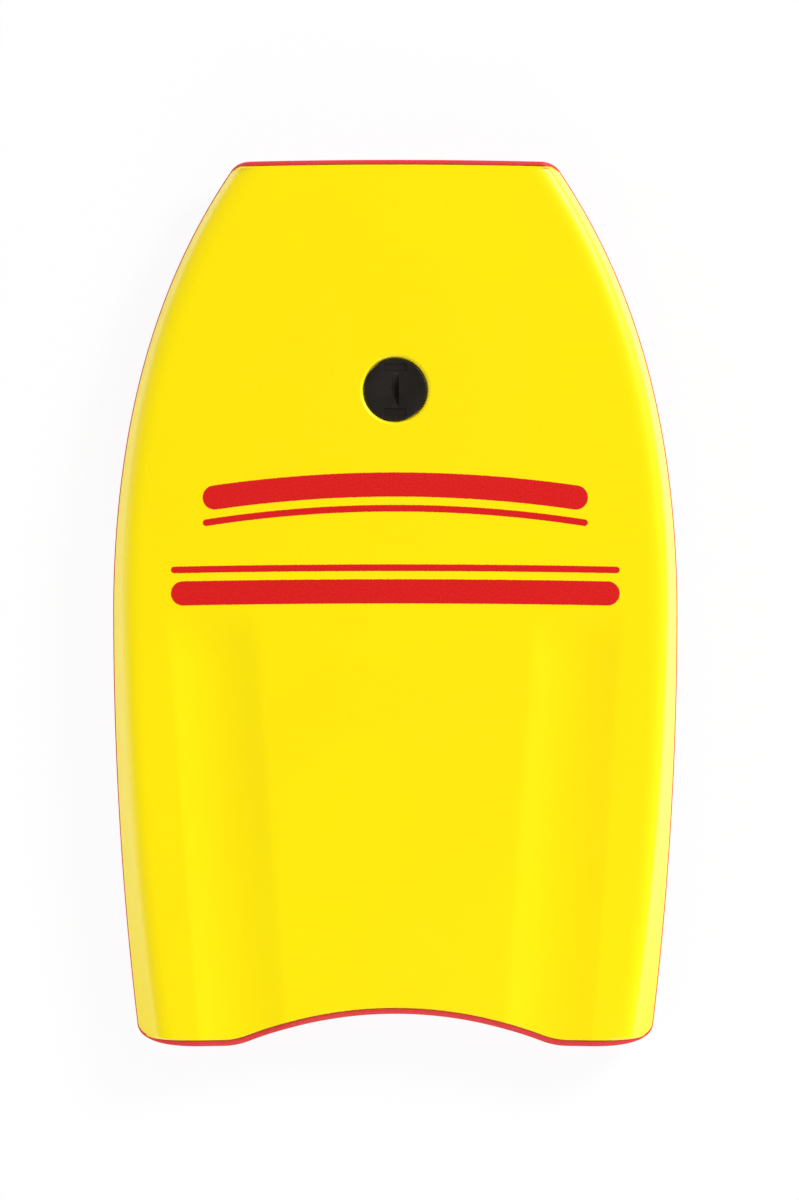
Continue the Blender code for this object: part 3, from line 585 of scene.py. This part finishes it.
def sum_up(tree, operation, first, second=0.0, third=0.0):
    """One step of arithmetic."""
    return put(tree, "Math", {0: first, 1: second, 2: third}, operation=operation).outputs[0]


arch_y = sum_up(stripe, "SUBTRACT", given[0], given[1])
from_arch = sum_up(stripe, "SUBTRACT", spot["Y"], arch_y)
out_x = sum_up(stripe, "MULTIPLY", spot["X"], spot["X"])
reach = sum_up(stripe, "SQRT", sum_up(stripe, "MULTIPLY_ADD", from_arch, from_arch, out_x))
off_line = sum_up(stripe, "SUBTRACT", reach, given[1])
angle = sum_up(stripe, "ABSOLUTE", sum_up(stripe, "ARCTAN2", spot["X"], from_arch))
straight = sum_up(stripe, "SUBTRACT", given[2], given[3])
past_end = sum_up(stripe, "SUBTRACT", sum_up(stripe, "MULTIPLY", angle, given[1]), straight)
past_end = sum_up(stripe, "MAXIMUM", past_end, 0)
squared = sum_up(stripe, "MULTIPLY", off_line, off_line)
from_line = sum_up(stripe, "SQRT", sum_up(stripe, "MULTIPLY_ADD", past_end, past_end, squared))
stripe.links.new(sum_up(stripe, "SUBTRACT", from_line, given[3]), result["Edge distance"])

deck_yellow, deck_deep = (1.0, 0.81, 0.0005, 1), (1.0, 0.775, 0.0003, 1)
# The pale yellow here is painted sheen for the chines, not a colour of the sheet.
chine_painted_sheen, sheen_clear_of_plug, sheen_fade = (1.0, 0.83, 0.13, 1), 0.04, 0.01
print_red, print_thin = (0.66, 0.008, 0.010, 1), (0.74, 0.016, 0.012, 1)
skin, tree, shader, place = finish_of("yellow_skin", deck_yellow[:3], 0.42)
shader.inputs["Specular IOR Level"].default_value = 0.28
pebble = in_group(tree, embossed, {"Pebbles per metre": 820})
slow = in_group(tree, uneven, {"Patches per metre": 7})
tone = sum_of(tree, ranged(tree, slow["Shade"], 0, 1, 0.1, 0.6), pebble["Shade"], 0.3)
colour = blended(tree, tone, deck_yellow, deck_deep)
# Painted sheen: faces that tilt sideways, the chines and the rolled deck edge, are painted a paler
# yellow in place of the bright surroundings' reflection. The paint fades out near the plug.
facing = put(tree, "TexCoord").outputs["Normal"]
upright = put(tree, "SeparateXYZ", {"Vector": facing}).outputs["Z"]
painted_sheen_share = ranged(tree, upright, 0.80, 0.56, 0, 1)
from_plug = put(tree, "VectorMath", {0: place, 1: (0, plug_y, board_thickness)}, operation="DISTANCE")
off_plug = ranged(tree, from_plug.outputs["Value"], sheen_clear_of_plug, sheen_clear_of_plug + sheen_fade, 0, 1)
painted_sheen_share = sum_up(tree, "MULTIPLY", painted_sheen_share, off_plug)
colour = blended(tree, painted_sheen_share, colour, chine_painted_sheen)
printed_stripes = ((0.088, 0.935, 0.143, 0.009), (0.0705, 0.9175, 0.143, 0.0025),
                   (0.0265, 8.0, 0.166, 0.0025), (0.009, 8.0, 0.166, 0.009))
nearest = 1.0
for sizes in printed_stripes:
    edge = in_group(tree, stripe, dict(zip(stripe_sizes, sizes)))[0]
    nearest = sum_up(tree, "MINIMUM", nearest, edge)
ragged = sum_of(tree, nearest, pebble["Shade"], 0.0002)
printed = ranged(tree, ragged, -0.0001, 0.0003, 1, 0)
printed_top = ranged(tree, put(tree, "SeparateXYZ", {"Vector": place}).outputs["Z"],
                     board_thickness - 0.002, board_thickness - 0.001, 0, 1)
printed = sum_up(tree, "MULTIPLY", printed, printed_top)
ink = blended(tree, pebble["Shade"], print_red, print_thin)
tree.links.new(blended(tree, printed, colour, ink), shader.inputs["Base Color"])
rough = ranged(tree, sum_of(tree, slow["Shade"], pebble["Shade"], 0.5), 0, 1.5, 0.30, 0.40)
tree.links.new(rough, shader.inputs["Roughness"])
relief(tree, shader, pebble["Height"], 0.00006)
deck.data.materials.append(skin)

# Edge strips.
# Red closed-cell foam cut from sheet: one strip bent across the nose, one along the tail's
# crescent, and a rail down each side that stops at the deck sheet's seam. All are heat-bonded.
rail_thickness, rail_lip, rail_tuck = 0.004, 0.002, 0.007
end_tuck, end_belly, end_lean, end_round = 0.001, 0.012, 0.0016, 0.004
foot_round = 0.001
belly = rail_height - rail_lip
side_rise, end_rise = foot_round / belly, foot_round / end_belly
foot_inner = (rail_tuck + rail_thickness, 0, 0, 1, 0, 0)
foot_before = (rail_tuck + foot_round, 0, 0, 0, end_tuck + foot_round, 0)
foot_corner = (rail_tuck, 0, 0, 0, end_tuck, 0)
foot_after = (rail_tuck * (1 - side_rise), 0, foot_round, 0, end_tuck * (1 - end_rise), foot_round)
belly_ring = (0, 0, belly, 0, 0, end_belly)
lip_before = (0, 0, belly + rail_lip / 4, 0, end_lean, board_thickness - end_round)
lip_corner = (0, 0, rail_height, 0, end_lean, board_thickness)
lip_after = (seam_inset, 0, rail_height, 1, 0, board_thickness)
strip_rings = [foot_inner] + rings_round(foot_before, foot_corner, foot_after, 3)
strip_rings += [belly_ring] + rings_round(lip_before, lip_corner, lip_after, 5)
strip_rings.append((seam_inset + rail_thickness, 0, rail_height, 1, 0, deck_under))
strip_rings.append((rail_thickness, 0, belly, 1, 0, belly))
nose_rows, right_rows, tail_rows = zip(*[edge_runs(ring, glue_gap) for ring in strip_rings])
left_rows = [left_of(row) for row in right_rows]
nose_rows = [left_of(row)[:0:-1] + row for row in nose_rows]
tail_rows = [left_of(row) + row[-2::-1] for row in tail_rows]

# Foam that was cut shows its opened cells. Their pits are painted darker as shade, from the same
# height that drives the relief.
opened, given, result = effect("opened_cells", {"Cells per metre": 1500}, ["Height", "Shade"])
place = put(opened, "TexCoord").outputs["Object"]
cells = put(opened, "TexVoronoi", {"Vector": place, "Scale": given[0], "Randomness": 1.0})
walls = put(opened, "TexNoise", {"Vector": place, "Scale": given[0], "Detail": 3})
open_height = sum_of(opened, cells.outputs["Distance"], walls.outputs[0], 0.5)
opened.links.new(ranged(opened, open_height, 0.2, 1.1, 0, 1), result["Height"])
opened.links.new(ranged(opened, open_height, 0.35, 0.95, 0, 1), result["Shade"])

strip_red, strip_uneven_and_pit_shade = (0.78, 0.024, 0.024, 1), (0.58, 0.012, 0.013, 1)
cut_foam, tree, shader, place = finish_of("red_cut_foam", strip_red[:3], 0.6)
cell = in_group(tree, opened, {"Cells per metre": 1400})
slow = in_group(tree, uneven, {"Patches per metre": 12})
# The darker red mixes slow random unevenness with painted shade in the cell pits.
tone = sum_of(tree, ranged(tree, slow["Shade"], 0, 1, 0, 0.25), cell["Shade"], 0.6)
tree.links.new(blended(tree, tone, strip_uneven_and_pit_shade, strip_red), shader.inputs["Base Color"])
tree.links.new(ranged(tree, cell["Shade"], 0, 1, 0.68, 0.52), shader.inputs["Roughness"])
relief(tree, shader, cell["Height"], 0.00016)

strips = (("nose_edge", nose_rows, "nose_strip"), ("tail_edge", tail_rows, "tail_strip"),
          ("right_rail", right_rows, "rail_skin_right"), ("left_rail", left_rows, "rail_skin_left"))
for name, rows, node in strips:
    loops = [[bent(row[k]) for row in rows] for k in range(len(rows[0]))]
    strip = drawn_out(name, loops)
    tidy_shell(strip, 40)
    strip.data.materials.append(cut_foam)
    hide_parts(node)
    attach(strip, "board")

# Slick bottom sheet.
# Dense sheet with a hard glossy skin, bonded between the rails. It is pressed up into a
# shallow pocket that the plug's lower flange sits in, just inside the running surface.
bottom_thickness, bottom_edge = 0.003, 0.0005
rail_clear = rail_thickness + glue_gap
high_tuck = rail_tuck * (1 - bottom_thickness / belly) + rail_clear
low_tuck = rail_tuck * (1 - bottom_edge / belly) + rail_clear
foot = rail_tuck + rail_clear
bottom_rings = [(high_tuck, 0, bottom_thickness, 1, glue_gap, bottom_thickness)]
bottom_rings += rings_round((low_tuck, 0, bottom_edge, 1, glue_gap, bottom_edge),
                            (foot, 0, 0, 1, glue_gap, 0),
                            (foot + bottom_edge, 0, 0, 1, glue_gap + bottom_edge, 0), 3)
slick = sheet("slick_bottom", bottom_rings)
nut_low, nut_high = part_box("leash_plug_nut")
nut_radius = (nut_high.x - nut_low.x) / 2
nut_seat = nut_radius + flange_room
bottom_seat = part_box("nut_washer")[1].z + glue_gap
pan_top = bottom_seat + pressed_thickness
pan = turned("bottom_pan", [(nut_seat + pressed_thickness / 2, pan_top),
                            (nut_seat + 2 * pressed_thickness, bottom_thickness - glue_gap),
                            (nut_seat + 2 * pressed_thickness, bottom_thickness / 2)])
combine(slick, pan, "UNION")
mouth_high, mouth_wide, mouth_low, cut_past = 0.0008, 0.0009, 0.0001, 0.002
mouth = (Vector((nut_seat, mouth_high)), Vector((nut_seat, 0)),
         Vector((nut_seat + mouth_wide, -mouth_low)))
pocket = [(plug_hole, pan_top + cut_past), (plug_hole, bottom_seat), (nut_seat, bottom_seat)]
for share in spread(0, 1, 5):
    spot = rounded(*mouth, share)
    pocket.append((spot.x, spot.y))
pocket.append((nut_seat + mouth_wide, -cut_past))
combine(slick, turned("bottom_pocket", pocket), "DIFFERENCE")
tidy_shell(slick, 40)
weigh_normals(slick)

slick_red, slick_deep = (0.70, 0.020, 0.022, 1), (0.62, 0.014, 0.016, 1)
glossy, tree, shader, place = finish_of("red_slick_skin", slick_red[:3], 0.24)
slow = in_group(tree, uneven, {"Patches per metre": 8})
drag_place = put(tree, "Mapping", {"Vector": place, "Scale": (700, 9, 700)}).outputs[0]
drag = put(tree, "TexNoise", {"Vector": drag_place, "Scale": 1.0, "Detail": 3}).outputs[0]
fine = in_group(tree, embossed, {"Pebbles per metre": 500})
tree.links.new(blended(tree, slow["Shade"], slick_red, slick_deep), shader.inputs["Base Color"])
gloss = sum_of(tree, ranged(tree, slow["Shade"], 0, 1, 0.17, 0.25), drag, 0.1)
tree.links.new(gloss, shader.inputs["Roughness"])
relief(tree, shader, sum_of(tree, fine["Height"], drag, 0.4), 0.00002)
slick.data.materials.append(glossy)
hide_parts("bottom_skin")
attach(slick, "board")

# Foam core.
# White moulded bead foam, hidden under the sheets. It shows only down the plug's bore.
core_white, core_seam = (0.86, 0.86, 0.84, 1), (0.66, 0.66, 0.63, 1)
beads, tree, shader, place = finish_of("white_beads", core_white[:3], 0.7)
bead = put(tree, "TexVoronoi", {"Vector": place, "Scale": 300}, feature="DISTANCE_TO_EDGE")
swell = ranged(tree, bead.outputs["Distance"], 0, 0.25, 0, 1)
slow = in_group(tree, uneven, {"Patches per metre": 30})
tone = sum_of(tree, ranged(tree, slow["Shade"], 0, 1, -0.15, 0), swell, 1.0)
tree.links.new(blended(tree, tone, core_seam, core_white), shader.inputs["Base Color"])
tree.links.new(ranged(tree, swell, 0, 1, 0.85, 0.62), shader.inputs["Roughness"])
relief(tree, shader, swell, 0.0004)
core_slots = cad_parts["foam_core"].material_slots
core_slots[0].material = beads

# Leash plug cap.
# Injection-moulded black plastic: a thin flange with a coin slot between two shallow finger
# grips, and a coarse threaded stem that screws down into the lower half through the board.
flange_thickness = 0.003
cap_top, cap_under = cap_high.z, cap_high.z - flange_thickness
stem_radius, stem_bottom, flange_edge = 0.0077, cap_low.z, 0.0006
slot_length, slot_width, slot_depth = 0.0262, 0.0053, 0.0029
grip_size, grip_from_middle = (0.0165, 0.0055, 0.0012), 0.0166
thread_pitch, thread_height, thread_room = 0.004, 0.0012, 0.00045
thread_root, thread_crest = 0.0012, 0.0005
thread_low = stem_bottom + flange_edge + thread_root
thread_steps = 60


def rim(start, corner, end):
    """A profile's corner, rounded off in five points."""
    spots = [rounded(Vector(start), Vector(corner), Vector(end), share) for share in spread(0, 1, 4)]
    return [(spot.x, spot.y) for spot in spots]


def coin_slot(face_z, side):
    """A disc on edge that sinks a coin slot into a face; side is 1 for a top face."""
    radius = ((slot_length / 2) ** 2 + slot_depth**2) / (2 * slot_depth)
    bpy.ops.mesh.primitive_cylinder_add(
        vertices=160, radius=radius, depth=slot_width, rotation=(0, math.pi / 2, 0),
        location=(0, plug_y, face_z + side * (radius - slot_depth)),
    )
    return bpy.context.object


def thread(name, inner, crest, widening, high, lead):
    """A closed helical ridge on the plug's axis, begun so many turns below its usual start."""
    root, top = thread_root + widening, thread_crest + widening
    soft = thread_height / 8
    section = [(inner, root), (crest - soft, top + soft), (crest, top - soft),
               (crest, soft - top), (crest - soft, -top - soft), (inner, -root)]
    turns = (high - thread_low) / thread_pitch
    loops = []
    for share in spread(-lead, turns, math.ceil((turns + lead) * thread_steps)):
        angle, rise = share * 2 * math.pi, thread_low + share * thread_pitch
        loop = []
        for radius, height in section:
            spot = (radius * math.cos(angle), plug_y + radius * math.sin(angle), rise + height)
            loop.append(Vector(spot))
        loops.append(loop)
    ridge = drawn_out(name, loops)
    tidy_shell(ridge, 35)
    return ridge


def soften_edges(piece, width):
    """Rounds a piece's sharp edges by a small bevel."""
    bevel = piece.modifiers.new("soften", "BEVEL")
    bevel.width = width
    bevel.segments = 2
    bevel.limit_method = "ANGLE"
    bevel.angle_limit = math.radians(50)
    bpy.context.view_layer.objects.active = piece
    bpy.ops.object.modifier_apply(modifier=bevel.name)


cap_profile = rim((cap_radius - flange_edge, cap_top), (cap_radius, cap_top),
                  (cap_radius, cap_top - flange_edge))
cap_profile.append((cap_radius, cap_under))
cap_profile += rim((stem_radius + flange_edge, cap_under), (stem_radius, cap_under),
                   (stem_radius, cap_under - flange_edge))
cap_profile += rim((stem_radius, stem_bottom + flange_edge), (stem_radius, stem_bottom),
                   (stem_radius - flange_edge, stem_bottom))
cap = turned("plug_cap_moulding", cap_profile)
combine(cap, coin_slot(cap_top, 1), "DIFFERENCE")
for side in (-1, 1):
    grip_place = (0, plug_y + side * grip_from_middle, cap_top)
    bpy.ops.mesh.primitive_cube_add(size=1, location=grip_place, scale=grip_size)
    combine(cap, bpy.context.object, "DIFFERENCE")
soften_edges(cap, 0.00028)
stem_thread = thread("stem_thread", stem_radius - thread_room, stem_radius + thread_height, 0,
                     nut_high.z - thread_root, 0)
combine(cap, stem_thread, "UNION")
tidy_shell(cap, 35)
weigh_normals(cap)

plastic_black, plastic_worn = (0.008, 0.0055, 0.0042, 1), (0.014, 0.010, 0.008, 1)
moulded, tree, shader, place = finish_of("black_moulded_plastic", plastic_black[:3], 0.5)
shader.inputs["Specular IOR Level"].default_value = 0.28
spark = in_group(tree, embossed, {"Pebbles per metre": 3200})
slow = in_group(tree, uneven, {"Patches per metre": 45})
tone = sum_of(tree, ranged(tree, slow["Shade"], 0, 1, 0, 0.6), spark["Shade"], 0.3)
tree.links.new(blended(tree, tone, plastic_black, plastic_worn), shader.inputs["Base Color"])
tree.links.new(ranged(tree, tone, 0, 0.9, 0.44, 0.58), shader.inputs["Roughness"])
relief(tree, shader, spark["Height"], 0.000012)
cap.data.materials.append(moulded)
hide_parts("leash_plug_cap")
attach(cap, "plug_cap")

# Leash plug nut.
# The plug's lower half, of the same plastic: a flange with its own coin slot, let into the
# bottom sheet, and a barrel threaded inside that reaches up through the core.
nut_upper = nut_low.z + 0.0025
bore_radius, bore_floor = stem_radius + thread_room, nut_upper + 0.005
grooved_radius = stem_radius + thread_height + thread_room
barrel_radius = grooved_radius + 0.0021
nut_profile = rim((barrel_radius - flange_edge, nut_high.z), (barrel_radius, nut_high.z),
                  (barrel_radius, nut_high.z - flange_edge))
nut_profile += [(barrel_radius, nut_upper), (nut_radius, nut_upper)]
nut_profile += rim((nut_radius, nut_low.z + flange_edge), (nut_radius, nut_low.z),
                   (nut_radius - flange_edge, nut_low.z))
nut = turned("plug_nut_moulding", nut_profile)
bore_top = nut_high.z + thread_pitch
combine(nut, turned("nut_bore", [(bore_radius, bore_top), (bore_radius, bore_floor)]), "DIFFERENCE")
combine(nut, coin_slot(nut_low.z, -1), "DIFFERENCE")
soften_edges(nut, 0.0002)
nut_thread = thread("nut_thread", stem_radius + thread_room / 2, grooved_radius, thread_room,
                    bore_top, 0.5)
combine(nut, nut_thread, "DIFFERENCE")
tidy_shell(nut, 35)
weigh_normals(nut)
nut.data.materials.append(moulded)
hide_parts("leash_plug_nut")
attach(nut, "board")

# Plug washers.
# Soft black rubber rings, punched from sheet, one under each flange. The upper one lifts off
# with the cap.
washer_edge, thread_clear = 0.00015, 0.0006
speckled, tree, shader, place = finish_of("black_washer_rubber", (0.026, 0.026, 0.026), 0.7)
dust = in_group(tree, embossed, {"Pebbles per metre": 2200})
slow = in_group(tree, uneven, {"Patches per metre": 60})
tone = sum_of(tree, ranged(tree, slow["Shade"], 0, 1, 0, 0.5), dust["Shade"], 0.5)
rubber_black, rubber_grey = (0.022, 0.022, 0.022, 1), (0.045, 0.044, 0.042, 1)
tree.links.new(blended(tree, tone, rubber_black, rubber_grey), shader.inputs["Base Color"])
tree.links.new(ranged(tree, tone, 0, 1, 0.62, 0.8), shader.inputs["Roughness"])
relief(tree, shader, dust["Height"], 0.00002)

cap_washer_hole = stem_radius + thread_height + thread_clear
washers = (("cap_washer_ring", "cap_washer", cap_washer_hole, "plug_washer"),
           ("nut_washer_ring", "nut_washer", plug_hole, "board"))
for name, node, hole, body in washers:
    low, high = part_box(node)
    outer = (high.x - low.x) / 2
    profile = [(outer, low.z + washer_edge), (outer, high.z - washer_edge),
               (outer - washer_edge, high.z), (hole + washer_edge, high.z),
               (hole, high.z - washer_edge), (hole, low.z + washer_edge),
               (hole + washer_edge, low.z), (outer - washer_edge, low.z)]
    washer = turned(name, profile, closed=True)
    washer.data.materials.append(speckled)
    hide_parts(node)
    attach(washer, body)
